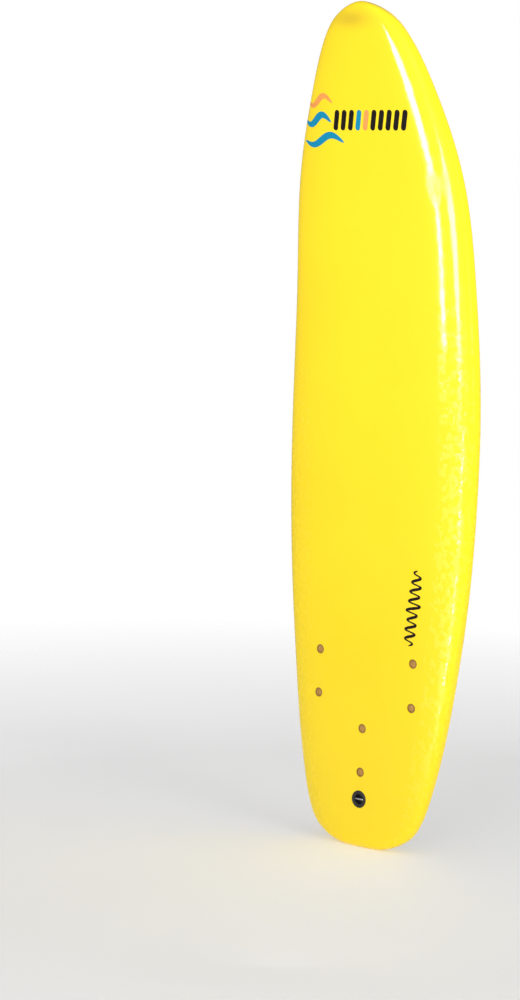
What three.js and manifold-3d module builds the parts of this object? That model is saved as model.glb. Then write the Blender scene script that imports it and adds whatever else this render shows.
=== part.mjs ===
// A soft-top board, 6 ft long, standing on its tail: foam skin and slick bottom around a cored foam
// blank, with three bolt-through fins and a bolt-through leash plug. Units are millimetres.
//
// Frame: the origin is the centre of the flat tail end, +Z runs up the board to the nose, +X is the
// right-hand side seen by someone facing the deck, and the deck faces -Y. The fins stand out to +Y.

import * as THREE from 'three';
import { mergeVertices } from 'three/addons/utils/BufferGeometryUtils.js';
import Module from 'manifold-3d';

const wasm = await Module();
wasm.setup();

// ---------- driving dimensions ----------

const LENGTH = 1829;                  // tail end to nose tip, 6 ft
const THICKNESS = 72;                 // greatest thickness, at mid-length
const NOSE_ROCKER = 123;              // how far the nose lifts towards the deck side
const TAIL_ROCKER = 25;               // how far the tail lifts towards the deck side

// Half-widths of the outline, tail first. The stations are spaced like the cosine of equal angles, so
// they crowd towards both ends, where the outline turns fastest. The nose closes to a point.
const HALF_WIDTHS = [45.5, 133.5, 179.5, 213.5, 240, 248.5, 237, 215, 156, 88, 0];

const DECK_SHARE = 0.57;              // share of the thickness that lies on the deck side of the rail
const DECK_ROUNDNESS = 2.9;           // superellipse exponent of the deck half of the section
const BOTTOM_ROUNDNESS = 3.8;         // and of the flatter bottom half
const NOSE_EDGE_RADIUS = 16;          // rounding of the thickness at the nose tip
const TAIL_EDGE_RADIUS = 20;          // and at the tail end
const TAIL_FLAT = 1.5;                // the tail rounding is cut off here, which leaves a flat end
const NOSE_FLAT = 0.4;                // and the very tip of the nose is cut off here

const SKIN = 5;                       // foam skin and slick bottom thickness
const SEAMS = [142, 1240];            // butt seams of the foam skin: tail, deck and nose lengths
const GAP = 0.3;                      // clearance between pieces that touch
const CAVITY_FROM = 8;                // the foam blank reaches from here
const CAVITY_TO = LENGTH - 17;        // to here
const SLICK_MARGIN = 36;              // the slick bottom stops this far inside the outline
const SLICK_FROM = 26;                // and this far from the tail end
const SLICK_TO = LENGTH - 42;
const SLICK_CORNER = 70;              // its four corners are rounded over this length
const SLICK_END_SHARE = 0.35;         // share of its width that is left straight at each end
const STRINGER_X = 60;                // stringer centre planes
const STRINGER_THICKNESS = 4;

const FLAT_FROM = 770;                // the deck and bottom are level between these stations,
const FLAT_TO = 840;                  // which gives each one a true flat facet

const SIDE_FIN_X = 127;
const BOLT_SPACING = 97;              // between the two bolts of a fin
const SIDE_FIN_REAR_Z = 328;          // rear bolt of a side fin
const CENTRE_FIN_REAR_Z = 168;        // rear bolt of the centre fin
const PLUG_Z = 108;                   // leash plug centre

const SLEEVE = { flangeRadius: 10, flangeHeight: 3.6, radius: 7.5, bore: 5.3, sunk: 0.6, endSetback: 1.5 };
const SCREW = { headRadius: 6.9, headHeight: 1.9, recess: 2.2, radius: 2.5, slotWidth: 2.2, slotDepth: 1.1 };
const POST = { radius: 5, length: 30, bore: 3.9, boreDepth: 16 };
const INSERT = { radius: 3.6, bore: 2.8, length: 14, setback: 0.4, engaged: 10 };
const PLUG = {
  flangeRadius: 19, flangeHeight: 4.6, proud: 0.4, bodyRadius: 14, bodyDepth: 15, cavityRadius: 11,
  cavityDepth: 12.4, pinRadius: 2, pinDepth: 3.4, pinHalfLength: 12.5, stemRadius: 5, stemSetback: 0.4,
};
const NUT = { radius: 14, inside: 3.6, proud: 1.2, holeRadius: 1.6, holeX: 9.5 };

const ROUND = 14;                     // segments round a small turned piece
const FAR = 400;                      // longer than any cut needs to be

// ---------- shape of the board ----------

const clamp01 = (value) => Math.min(Math.max(value, 0), 1);

/** Uniform Catmull-Rom value through HALF_WIDTHS at a height above the tail. */
function halfWidth(z) {
  const last = HALF_WIDTHS.length - 1;
  const place = Math.acos(1 - 2 * clamp01(z / LENGTH)) / Math.PI * last;
  const i = Math.min(Math.floor(place), last - 1);
  const f = place - i;
  const p0 = HALF_WIDTHS[Math.max(i - 1, 0)];
  const p1 = HALF_WIDTHS[i];
  const p2 = HALF_WIDTHS[i + 1];
  const p3 = HALF_WIDTHS[Math.min(i + 2, last)];
  const slope1 = (p2 - p0) / 2;
  const slope2 = (p3 - p1) / 2;
  const cubic = (2 * p1 - 2 * p2 + slope1 + slope2) * f ** 3;
  const square = (3 * p2 - 3 * p1 - 2 * slope1 - slope2) * f ** 2;
  return Math.max(cubic + square + slope1 * f + p1, 0);
}

/** Quarter-circle rounding: 0 at the edge, 1 from one radius inwards. */
function rounding(distance, radius) {
  const outside = 1 - clamp01(distance / radius);
  return Math.sqrt(Math.max(1 - outside ** 2, 0));
}

function thickness(z) {
  const t = z / LENGTH;
  const noseTaper = 0.52 * clamp01((t - 0.5) / 0.5) ** 2.2;
  const tailTaper = 0.42 * clamp01((0.42 - t) / 0.42) ** 2.2;
  const ends = rounding(LENGTH - z, NOSE_EDGE_RADIUS) * rounding(z + TAIL_FLAT, TAIL_EDGE_RADIUS);
  return THICKNESS * (1 - noseTaper - tailTaper) * Math.max(ends, 0.02);
}

/** Y of the middle of the thickness: zero at the tail, curving to the deck side at both ends. */
function middleY(z) {
  const t = z / LENGTH;
  const nose = NOSE_ROCKER * clamp01((t - 0.46) / 0.54) ** 2.3;
  const tail = TAIL_ROCKER * clamp01((0.36 - t) / 0.36) ** 2;
  return TAIL_ROCKER - nose - tail;
}

const bottomY = (z) => middleY(z) + thickness(z) / 2;
const railY = (z) => bottomY(z) - (1 - DECK_SHARE) * thickness(z);

/** Y of the deck surface at a point off the centre line. */
function deckY(z, x) {
  const across = Math.min(Math.abs(x) / halfWidth(z), 1);
  const rise = (1 - across ** DECK_ROUNDNESS) ** (1 / DECK_ROUNDNESS);
  return railY(z) - DECK_SHARE * thickness(z) * rise;
}

/** Y of the bottom surface at a point off the centre line. */
function bottomSurfaceY(z, x) {
  const across = Math.min(Math.abs(x) / halfWidth(z), 1);
  const drop = (1 - across ** BOTTOM_ROUNDNESS) ** (1 / BOTTOM_ROUNDNESS);
  return railY(z) + (1 - DECK_SHARE) * thickness(z) * drop;
}

// Angles round the section from the right rail over the deck. Two of them straddle the centre line of
// the deck, and two that of the bottom, so that both have a flat strip there.
const QUARTER = [0, 13, 26, 39, 52, 65, 78, 85];

function sectionAngles() {
  const mirrored = QUARTER.map((angle) => 180 - angle).reverse();
  const deckAngles = [...QUARTER, ...mirrored];
  const bottomAngles = deckAngles.slice(1, -1).map((angle) => angle + 180);
  return [...deckAngles, ...bottomAngles];
}

/** One section ring of the board, its surface moved inwards by inset, placed at height. */
function sectionRing(z, inset, height) {
  const half = halfWidth(z) - inset;
  const deckDepth = DECK_SHARE * thickness(z) - inset;
  const bottomDepth = (1 - DECK_SHARE) * thickness(z) - inset;
  return sectionAngles().map((angle) => {
    const c = Math.cos(THREE.MathUtils.degToRad(angle));
    const s = Math.sin(THREE.MathUtils.degToRad(angle));
    const onDeck = angle <= 180;
    const power = 2 / (onDeck ? DECK_ROUNDNESS : BOTTOM_ROUNDNESS);
    const x = half * Math.sign(c) * Math.abs(c) ** power;
    const reach = Math.abs(s) ** power;
    const y = onDeck ? railY(z) - deckDepth * reach : railY(z) + bottomDepth * reach;
    return new THREE.Vector3(x, y, height);
  });
}

/** Heights of the section rings, closer together towards both ends, with any extra ones asked for. */
function stations(from, to, extra = []) {
  const count = 28;
  const heights = [from, to, FLAT_FROM, FLAT_TO, ...extra];
  for (let i = 1; i < count; i += 1) {
    const z = LENGTH * (1 - Math.cos(Math.PI * i / count)) / 2;
    const nearFlat = z > FLAT_FROM - 30 && z < FLAT_TO + 30;
    const inside = z > from + 1 && z < to - 1;
    if (inside && !nearFlat) heights.push(z);
  }
  return heights.sort((a, b) => a - b);
}

// ---------- solids ----------

/** A closed geometry from rings of equal length, with a flat fan over each end. */
function loft(rings) {
  const size = rings[0].length;
  const triangles = [];
  for (let k = 0; k + 1 < rings.length; k += 1) {
    for (let i = 0; i < size; i += 1) {
      const j = (i + 1) % size;
      triangles.push(rings[k][i], rings[k][j], rings[k + 1][j]);
      triangles.push(rings[k][i], rings[k + 1][j], rings[k + 1][i]);
    }
  }
  const first = rings[0];
  const end = rings[rings.length - 1];
  for (let i = 1; i + 1 < size; i += 1) {
    triangles.push(first[0], first[i + 1], first[i]);
    triangles.push(end[0], end[i], end[i + 1]);
  }
  return new THREE.BufferGeometry().setFromPoints(triangles);
}

/** Volume inside a non-indexed geometry: negative where its faces point inwards. */
function signedVolume(geometry) {
  const points = geometry.attributes.position;
  const [a, b, c] = [new THREE.Vector3(), new THREE.Vector3(), new THREE.Vector3()];
  let sum = 0;
  for (let i = 0; i < points.count; i += 3) {
    a.fromBufferAttribute(points, i);
    b.fromBufferAttribute(points, i + 1);
    c.fromBufferAttribute(points, i + 2);
    sum += a.dot(b.cross(c)) / 6;
  }
  return sum;
}

/** A manifold solid from a closed three.js geometry, with its faces turned outwards. */
function toSolid(geometry) {
  const bare = (geometry.index ? geometry.toNonIndexed() : geometry).clone();
  bare.deleteAttribute('normal');
  bare.deleteAttribute('uv');
  const merged = mergeVertices(bare, 1e-4);
  const corners = [];
  const index = merged.index.array;
  const inwards = signedVolume(bare) < 0;
  for (let i = 0; i < index.length; i += 3) {
    const [a, b, c] = [index[i], index[i + 1], index[i + 2]];
    if (a === b || b === c || c === a) continue;
    corners.push(...(inwards ? [a, c, b] : [a, b, c]));
  }
  return new wasm.Manifold(new wasm.Mesh({
    numProp: 3,
    vertProperties: new Float32Array(merged.attributes.position.array),
    triVerts: new Uint32Array(corners),
  }));
}

function toGeometry(solid) {
  const mesh = solid.getMesh();
  const geometry = new THREE.BufferGeometry();
  geometry.setAttribute('position', new THREE.BufferAttribute(new Float32Array(mesh.vertProperties), 3));
  geometry.setIndex(new THREE.BufferAttribute(new Uint32Array(mesh.triVerts), 1));
  geometry.computeVertexNormals();
  return geometry;
}

/** A turned solid: [radius, y] points revolved about a line along Y through (x, z). */
function turned(profile, x, z) {
  const points = profile.map(([radius, y]) => new THREE.Vector2(radius, y));
  points.push(points[0].clone());
  return toSolid(new THREE.LatheGeometry(points, ROUND).translate(x, 0, z));
}

/** A round bar along Y between two heights. */
function rod(radius, fromY, toY, x, z) {
  return turned([[0, fromY], [radius, fromY], [radius, toY], [0, toY]], x, z);
}

function slab(sizeX, sizeY, sizeZ, x, y, z) {
  return toSolid(new THREE.BoxGeometry(sizeX, sizeY, sizeZ).translate(x, y, z));
}

/** The board's shape between two heights, its surface moved inwards by inset, each end cut by shorten. */
function boardSolid(from, to, inset, shorten = 0) {
  const rings = stations(from, to).map((z) => {
    const height = Math.min(Math.max(z, from + shorten), to - shorten);
    return sectionRing(z, inset, height);
  });
  return toSolid(loft(rings));
}

/** Half-width of the slick bottom: inside the outline by its margin, with rounded corners. */
function slickHalfWidth(z) {
  const reach = clamp01(Math.min(z - SLICK_FROM, SLICK_TO - z) / SLICK_CORNER);
  const corner = (1 - (1 - reach) ** 2.5) ** (1 / 2.5);
  return (halfWidth(z) - SLICK_MARGIN) * Math.max(corner, SLICK_END_SHARE);
}

/** The space of the slick bottom: everything below the rail line inside its outline. */
function slickSpace(grow) {
  const steps = [0.015, 0.08, 0.22, 0.45, 0.7].map((share) => share * SLICK_CORNER);
  const extra = [...steps.map((step) => SLICK_FROM + step), ...steps.map((step) => SLICK_TO - step)];
  const rings = stations(SLICK_FROM, SLICK_TO, extra).map((z) => {
    const half = slickHalfWidth(z) + grow;
    const inner = railY(z);
    const outer = bottomY(z) + SLICK_MARGIN;
    const overrun = (z === SLICK_TO ? grow : 0) - (z === SLICK_FROM ? grow : 0);
    return [[half, inner], [half, outer], [-half, outer], [-half, inner]].map(
      ([x, y]) => new THREE.Vector3(x, y, z + overrun),
    );
  });
  return toSolid(loft(rings));
}

const throughHole = (radius, x, z) => rod(radius, -FAR, FAR, x, z);

// ---------- where the fasteners are ----------

const FINS = [
  { name: 'left', x: -SIDE_FIN_X, rearZ: SIDE_FIN_REAR_Z, base: 108, depth: 78, cant: 4, toe: 2.5 },
  { name: 'right', x: SIDE_FIN_X, rearZ: SIDE_FIN_REAR_Z, base: 108, depth: 78, cant: -4, toe: -2.5 },
  { name: 'centre', x: 0, rearZ: CENTRE_FIN_REAR_Z, base: 114, depth: 106, cant: 0, toe: 0 },
];
const BOLTS = FINS.flatMap((fin) => [
  { name: `${fin.name}_rear`, fin, x: fin.x, z: fin.rearZ },
  { name: `${fin.name}_front`, fin, x: fin.x, z: fin.rearZ + BOLT_SPACING },
]);

const sleeveTop = ({ x, z }) => deckY(z, x) + SLEEVE.sunk;
const postTop = ({ x, z }) => bottomSurfaceY(z, x) - POST.length;
const plugTop = deckY(PLUG_Z, 0) - PLUG.proud;

// ---------- pieces ----------

const group = new THREE.Group();

function addPiece(name, solid, color, roughness, metalness = 0) {
  const material = new THREE.MeshStandardMaterial({ color, roughness, metalness, flatShading: true });
  const mesh = new THREE.Mesh(toGeometry(solid), material);
  mesh.name = name;
  group.add(mesh);
}

const outer = boardSolid(0, LENGTH - NOSE_FLAT, 0);
const grownOuter = boardSolid(0, LENGTH - NOSE_FLAT, -GAP);
const cavity = boardSolid(CAVITY_FROM, CAVITY_TO, SKIN);
const shell = outer.subtract(cavity);

/** The foam skin: deck, rails, nose and tail end, open where the slick bottom goes. */
function foamSkin() {
  let skin = shell.subtract(slickSpace(GAP));
  for (const { x, z } of BOLTS) {
    skin = skin.subtract(throughHole(SLEEVE.flangeRadius + GAP, x, z));
  }
  return skin.subtract(throughHole(PLUG.flangeRadius + GAP, 0, PLUG_Z));
}

/** The length of the foam skin between two heights, cut back by half the clearance at each seam. */
function skinLength(skin, from, to) {
  const low = from + GAP / 2;
  const high = to - GAP / 2;
  return skin.intersect(slab(2 * FAR, 2 * FAR, high - low, 0, 0, (low + high) / 2));
}

function slickBottom() {
  let slick = shell.intersect(slickSpace(0));
  for (const { x, z } of BOLTS) {
    slick = slick.subtract(throughHole(SLEEVE.radius + GAP, x, z));
  }
  return slick.subtract(throughHole(NUT.radius + GAP, 0, PLUG_Z));
}

/** The foam blank between the skins, drilled for the sleeves and the leash plug. */
function drilledBlank() {
  let blank = boardSolid(CAVITY_FROM, CAVITY_TO, SKIN + GAP, GAP);
  for (const { x, z } of BOLTS) {
    blank = blank.subtract(throughHole(SLEEVE.radius + GAP, x, z));
  }
  const pocket = rod(PLUG.bodyRadius + GAP, -FAR, plugTop + PLUG.bodyDepth + GAP, 0, PLUG_Z);
  const stemHole = throughHole(PLUG.stemRadius + GAP, 0, PLUG_Z);
  return blank.subtract(pocket).subtract(stemHole);
}

/** A full-height slice of the blank between two planes of constant x. */
function blankSlice(blank, fromX, toX) {
  return blank.intersect(slab(toX - fromX, FAR, 2 * LENGTH + FAR, (fromX + toX) / 2, 0, 0));
}

/** Through sleeve: a collar in the deck skin with a recess for the screw head, and a tube below. */
function finSleeve(bolt) {
  const top = sleeveTop(bolt);
  const end = bottomSurfaceY(bolt.z, bolt.x) - SLEEVE.endSetback;
  return turned([
    [SCREW.headRadius + GAP, top],
    [SLEEVE.flangeRadius - 0.8, top],
    [SLEEVE.flangeRadius, top + 0.8],
    [SLEEVE.flangeRadius, top + SLEEVE.flangeHeight],
    [SLEEVE.radius, top + SLEEVE.flangeHeight],
    [SLEEVE.radius, end],
    [SLEEVE.bore, end],
    [SLEEVE.bore, top + SCREW.recess],
    [SCREW.headRadius + GAP, top + SCREW.recess],
  ], bolt.x, bolt.z);
}

/** Slotted screw, from the deck down into the threaded insert. */
function finScrew(bolt) {
  const top = sleeveTop(bolt);
  const tip = postTop(bolt) + INSERT.setback + INSERT.engaged;
  const body = turned([
    [0, top],
    [SCREW.headRadius - 0.6, top],
    [SCREW.headRadius, top + 0.6],
    [SCREW.headRadius, top + SCREW.headHeight],
    [SCREW.radius, top + SCREW.headHeight],
    [SCREW.radius, tip - 1],
    [SCREW.radius - 0.8, tip],
    [0, tip],
  ], bolt.x, bolt.z);
  const length = 3 * SCREW.headRadius;
  return body.subtract(slab(SCREW.slotWidth, 2 * SCREW.slotDepth, length, bolt.x, top, bolt.z));
}

/** Threaded insert in the top of a fin post. */
function finInsert(bolt) {
  const top = postTop(bolt) + INSERT.setback;
  return turned([
    [INSERT.bore, top],
    [INSERT.radius, top],
    [INSERT.radius, top + INSERT.length],
    [INSERT.bore, top + INSERT.length],
  ], bolt.x, bolt.z);
}

/** Fin blade: foiled, raked towards the tail, with its root sunk a little into the board. */
function finBlade({ base, depth }) {
  const rootThickness = 9;
  const tipThickness = 3.2;
  const rootSink = 10;
  const layers = 11;
  const foilPoints = 7;
  const rings = [];
  for (let k = 0; k <= layers; k += 1) {
    const s = clamp01((k - 1) / (layers - 1));
    const lead = 40 * s + (base - 32) * s ** 1.7;
    const chord = base * (1 - s) ** 0.75 * (1 - 0.1 * s) + 14 * s;
    const thick = rootThickness + (tipThickness - rootThickness) * s;
    const y = k === 0 ? -rootSink : depth * s;
    const ring = [];
    for (const side of [1, -1]) {
      for (let i = 0; i < foilPoints; i += 1) {
        const along = side > 0 ? i / foilPoints : 1 - i / foilPoints;
        const swell = Math.sin(Math.PI * along ** 0.75) ** 0.8;
        const x = side * (0.4 + (thick / 2 - 0.4) * swell);
        ring.push(new THREE.Vector3(x, y, base / 2 - lead - chord * along));
      }
    }
    rings.push(ring);
  }
  return loft(rings);
}

/** Oval foot under the blade, cut to the bottom's curve later. */
function finFoot({ base }) {
  const outline = new THREE.Shape();
  outline.absellipse(0, 0, 11, base / 2 + 7, 0, 2 * Math.PI);
  const foot = new THREE.ExtrudeGeometry(outline, { depth: 14, bevelEnabled: false, curveSegments: 10 });
  return foot.rotateX(-Math.PI / 2).translate(0, -11, 0);
}

/** Fin with its foot lying on the bottom, and two hollow posts that stand up inside the sleeves. */
function fin(spec) {
  const middleZ = spec.rearZ + BOLT_SPACING / 2;
  const rearY = bottomSurfaceY(spec.rearZ, spec.x);
  const frontY = bottomSurfaceY(spec.rearZ + BOLT_SPACING, spec.x);
  const place = new THREE.Matrix4().makeTranslation(spec.x, (rearY + frontY) / 2, middleZ);
  const tilt = Math.atan2(frontY - rearY, BOLT_SPACING);
  place.multiply(new THREE.Matrix4().makeRotationX(-tilt));
  const rake = new THREE.Matrix4().makeRotationY(THREE.MathUtils.degToRad(spec.toe));
  const cant = new THREE.Matrix4().makeRotationZ(THREE.MathUtils.degToRad(spec.cant));
  const blade = finBlade(spec).applyMatrix4(place.clone().multiply(cant).multiply(rake));
  const foot = finFoot(spec).applyMatrix4(place.clone().multiply(rake));
  let solid = toSolid(blade).add(toSolid(foot)).subtract(grownOuter);
  for (const bolt of BOLTS.filter((each) => each.fin === spec)) {
    const surface = bottomSurfaceY(bolt.z, bolt.x);
    const top = postTop(bolt);
    solid = solid.add(rod(POST.radius, top, surface + 1.5, bolt.x, bolt.z));
    solid = solid.subtract(rod(POST.bore, top - 1, top + POST.boreDepth, bolt.x, bolt.z));
  }
  return solid;
}

/** Leash plug: flange and cup in the deck, with a stem that goes right through the board. */
function plugCup() {
  const stemEnd = bottomY(PLUG_Z) + PLUG.stemSetback;
  const cup = turned([
    [0, plugTop + PLUG.cavityDepth],
    [PLUG.cavityRadius, plugTop + PLUG.cavityDepth],
    [PLUG.cavityRadius, plugTop],
    [PLUG.flangeRadius - 1.2, plugTop],
    [PLUG.flangeRadius, plugTop + 1.2],
    [PLUG.flangeRadius, plugTop + PLUG.flangeHeight],
    [PLUG.bodyRadius, plugTop + PLUG.flangeHeight],
    [PLUG.bodyRadius, plugTop + PLUG.bodyDepth],
    [PLUG.stemRadius, plugTop + PLUG.bodyDepth],
    [PLUG.stemRadius, stemEnd],
    [0, stemEnd],
  ], 0, PLUG_Z);
  return cup.subtract(plugPin(GAP));
}

/** The cross pin that the leash cord ties round, grown for cutting its seat. */
function plugPin(grow) {
  const pin = new THREE.CylinderGeometry(
    PLUG.pinRadius + grow, PLUG.pinRadius + grow, 2 * (PLUG.pinHalfLength + grow), ROUND,
  );
  return toSolid(pin.rotateZ(Math.PI / 2).translate(0, plugTop + PLUG.pinDepth, PLUG_Z));
}

/** Round nut on the bottom, with two holes for a pin spanner. */
function plugNut() {
  const surface = bottomY(PLUG_Z);
  let nut = turned([
    [PLUG.stemRadius + GAP, surface - NUT.inside],
    [NUT.radius, surface - NUT.inside],
    [NUT.radius, surface + NUT.proud - 0.8],
    [NUT.radius - 0.8, surface + NUT.proud],
    [PLUG.stemRadius + GAP, surface + NUT.proud],
  ], 0, PLUG_Z);
  for (const x of [-NUT.holeX, NUT.holeX]) {
    nut = nut.subtract(rod(NUT.holeRadius, surface - 1.5, FAR, x, PLUG_Z));
  }
  return nut;
}

// ---------- assembly ----------

const YELLOW = 0xffe512;
const WHITE = 0xf2f2ee;
const EPS_WHITE = 0xf7f7f4;
const WOOD = 0xb98a56;
const BLACK = 0x17171a;
const TAN = 0xb08a5a;
const BROWN = 0x5a4020;
const BRASS = 0xc9a24a;
const STEEL = 0xc4c6c8;

const skin = foamSkin();
addPiece('tail_skin', skinLength(skin, -FAR, SEAMS[0]), YELLOW, 0.25);
addPiece('deck_skin', skinLength(skin, SEAMS[0], SEAMS[1]), YELLOW, 0.25);
addPiece('nose_skin', skinLength(skin, SEAMS[1], LENGTH + FAR), YELLOW, 0.25);
addPiece('slick_bottom', slickBottom(), WHITE, 0.3);

const blank = drilledBlank();
const coreEdge = STRINGER_X - STRINGER_THICKNESS / 2 - GAP;
const railEdge = STRINGER_X + STRINGER_THICKNESS / 2 + GAP;
addPiece('foam_core_centre', blankSlice(blank, -coreEdge, coreEdge), EPS_WHITE, 0.9);
addPiece('foam_core_left', blankSlice(blank, -FAR, -railEdge), EPS_WHITE, 0.9);
addPiece('foam_core_right', blankSlice(blank, railEdge, FAR), EPS_WHITE, 0.9);
for (const [name, x] of [['stringer_left', -STRINGER_X], ['stringer_right', STRINGER_X]]) {
  const slice = blankSlice(blank, x - STRINGER_THICKNESS / 2, x + STRINGER_THICKNESS / 2);
  addPiece(name, slice, WOOD, 0.7);
}

for (const spec of FINS) {
  addPiece(`fin_${spec.name}`, fin(spec), BLACK, 0.45);
}
for (const bolt of BOLTS) {
  addPiece(`fin_sleeve_${bolt.name}`, finSleeve(bolt), BROWN, 0.5);
  addPiece(`fin_screw_${bolt.name}`, finScrew(bolt), TAN, 0.5);
  addPiece(`fin_insert_${bolt.name}`, finInsert(bolt), BRASS, 0.35, 1);
}

addPiece('leash_plug_cup', plugCup(), BLACK, 0.4);
addPiece('leash_plug_pin', plugPin(0), STEEL, 0.25, 1);
addPiece('leash_plug_nut', plugNut(), BLACK, 0.4);

export default group;
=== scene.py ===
"""Looks of the soft-top board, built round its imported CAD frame. Metres, +Z up the board to the nose."""

import math

import bmesh
import bpy
import numpy as np
from mathutils import Matrix, Vector


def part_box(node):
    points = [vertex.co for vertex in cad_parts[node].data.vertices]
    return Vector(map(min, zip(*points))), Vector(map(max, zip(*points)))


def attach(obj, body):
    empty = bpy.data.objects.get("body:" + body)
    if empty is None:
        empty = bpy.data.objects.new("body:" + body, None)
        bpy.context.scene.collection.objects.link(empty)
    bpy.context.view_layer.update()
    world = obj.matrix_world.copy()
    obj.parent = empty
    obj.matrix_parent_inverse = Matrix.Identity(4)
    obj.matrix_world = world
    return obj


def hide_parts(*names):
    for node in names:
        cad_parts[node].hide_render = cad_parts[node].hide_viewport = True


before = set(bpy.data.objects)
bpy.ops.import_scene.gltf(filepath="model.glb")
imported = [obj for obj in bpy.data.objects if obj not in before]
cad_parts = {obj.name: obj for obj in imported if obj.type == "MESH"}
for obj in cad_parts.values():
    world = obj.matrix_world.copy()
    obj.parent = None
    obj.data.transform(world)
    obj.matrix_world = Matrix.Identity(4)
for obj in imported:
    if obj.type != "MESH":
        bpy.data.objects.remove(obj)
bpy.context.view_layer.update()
MM = 0.001

# ---------- camera ----------

CAMERA_AZIMUTH = 39.56      # degrees from -Y towards +X
CAMERA_ELEVATION = 6.47
CAMERA_ROLL = 1.61
CAMERA_DISTANCE = 5.76
CAMERA_AIM = Vector((-0.287, -0.039, 0.744))
CAMERA_LENS = 92.9


def add_camera():
    azimuth, elevation = math.radians(CAMERA_AZIMUTH), math.radians(CAMERA_ELEVATION)
    back = Vector((math.sin(azimuth) * math.cos(elevation),
                   -math.cos(azimuth) * math.cos(elevation),
                   math.sin(elevation)))
    right = Vector((math.cos(azimuth), math.sin(azimuth), 0.0))
    up = back.cross(right)
    axes = Matrix((right, up, back)).transposed()
    data = bpy.data.cameras.new("camera")
    data.lens = CAMERA_LENS
    data.sensor_width = 36.0
    camera = bpy.data.objects.new("camera", data)
    turn = axes @ Matrix.Rotation(math.radians(CAMERA_ROLL), 3, "Z")
    camera.matrix_world = Matrix.Translation(CAMERA_AIM + back * CAMERA_DISTANCE) @ turn.to_4x4()
    bpy.context.scene.collection.objects.link(camera)
    bpy.context.scene.camera = camera


# ---------- shape of the board ----------

SKIN_NODES = ("tail_skin", "deck_skin", "nose_skin")
skin_low, skin_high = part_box("tail_skin")[0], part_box("nose_skin")[1]
mid_low, mid_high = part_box("deck_skin")
NOSE_FLAT = 0.4 * MM
LENGTH = skin_high.z - skin_low.z + NOSE_FLAT
HALF_BREADTH = (mid_high.x - mid_low.x) / 2
THICKNESS = 72 * MM
NOSE_THINNING, TAIL_THINNING = 0.52, 0.42      # share of the thickness lost at each end
THINNEST_SHARE = 0.02
NOSE_ROCKER = 123 * MM
TAIL_ROCKER = 25 * MM
OUTLINE = np.array([45.5, 133.5, 179.5, 213.5, 240, 248.5, 237, 215, 156, 88, 0]) / 248.5
DECK_SHARE = 0.57
DECK_ROUNDNESS = 2.9
BOTTOM_ROUNDNESS = 3.8
NOSE_EDGE_RADIUS = 16 * MM
TAIL_EDGE_RADIUS = 20 * MM
TAIL_FLAT = 1.5 * MM
SKIN = 5 * MM
SLICK_MARGIN = 36 * MM
SLICK_CORNER = 70 * MM
GAP = 0.3 * MM


def half_width(z):
    """Catmull-Rom value through OUTLINE, whose stations crowd towards both ends."""
    z = np.asarray(z, float)
    last = len(OUTLINE) - 1
    place = np.arccos(1 - 2 * np.clip(z / LENGTH, 0, 1)) / math.pi * last
    i = np.minimum(np.floor(place).astype(int), last - 1)
    f = place - i
    p0, p1 = OUTLINE[np.maximum(i - 1, 0)], OUTLINE[i]
    p2, p3 = OUTLINE[i + 1], OUTLINE[np.minimum(i + 2, last)]
    slope1, slope2 = (p2 - p0) / 2, (p3 - p1) / 2
    cubic = (2 * p1 - 2 * p2 + slope1 + slope2) * f**3
    square = (3 * p2 - 3 * p1 - 2 * slope1 - slope2) * f**2
    return HALF_BREADTH * np.maximum(cubic + square + slope1 * f + p1, 0)


def rounding(distance, radius):
    return np.sqrt(np.maximum(1 - (1 - np.clip(distance / radius, 0, 1)) ** 2, 0))


def thickness(z):
    t = np.asarray(z, float) / LENGTH
    nose = NOSE_THINNING * np.clip((t - 0.5) / 0.5, 0, 1) ** 2.2
    tail = TAIL_THINNING * np.clip((0.42 - t) / 0.42, 0, 1) ** 2.2
    ends = rounding(LENGTH - z, NOSE_EDGE_RADIUS) * rounding(z + TAIL_FLAT, TAIL_EDGE_RADIUS)
    return THICKNESS * (1 - (nose + tail)) * np.maximum(ends, THINNEST_SHARE)


def middle_y(z):
    t = np.asarray(z, float) / LENGTH
    nose = NOSE_ROCKER * np.clip((t - 0.46) / 0.54, 0, 1) ** 2.3
    tail = TAIL_ROCKER * np.clip((0.36 - t) / 0.36, 0, 1) ** 2
    return TAIL_ROCKER - nose - tail


def rail_y(z):
    return middle_y(z) + thickness(z) * (DECK_SHARE - 0.5)


def deck_y(z, x):
    across = np.clip(np.abs(x) / np.maximum(half_width(z), 1e-6), 0, 1)
    return rail_y(z) - DECK_SHARE * thickness(z) * (1 - across**DECK_ROUNDNESS) ** (1 / DECK_ROUNDNESS)


def bottom_y(z, x):
    across = np.clip(np.abs(x) / np.maximum(half_width(z), 1e-6), 0, 1)
    reach = (1 - across**BOTTOM_ROUNDNESS) ** (1 / BOTTOM_ROUNDNESS)
    return rail_y(z) + (1 - DECK_SHARE) * thickness(z) * reach


def section_point(z, angle):
    """Surface point at an angle round the section: 0 at the right rail, 90 on the deck's centre line."""
    c, s = np.cos(np.radians(angle)), np.sin(np.radians(angle))
    deck = s >= 0
    power = np.where(deck, 2 / DECK_ROUNDNESS, 2 / BOTTOM_ROUNDNESS)
    share = np.where(deck, -DECK_SHARE, 1 - DECK_SHARE)
    x = half_width(z) * np.sign(c) * np.abs(c) ** power
    y = rail_y(z) + share * thickness(z) * np.abs(s) ** power
    return np.stack([x, y, z + 0 * x], -1)


# ---------- where the fittings are, read from the frame ----------

BOLT_NAMES = [f"{fin}_{end}" for fin in ("left", "right", "centre") for end in ("rear", "front")]


def axis_of(node):
    """Middle of a turned node, and the Y of its deck end and bottom end."""
    low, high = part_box(node)
    return (low.x + high.x) / 2, (low.z + high.z) / 2, low.y, high.y


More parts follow.
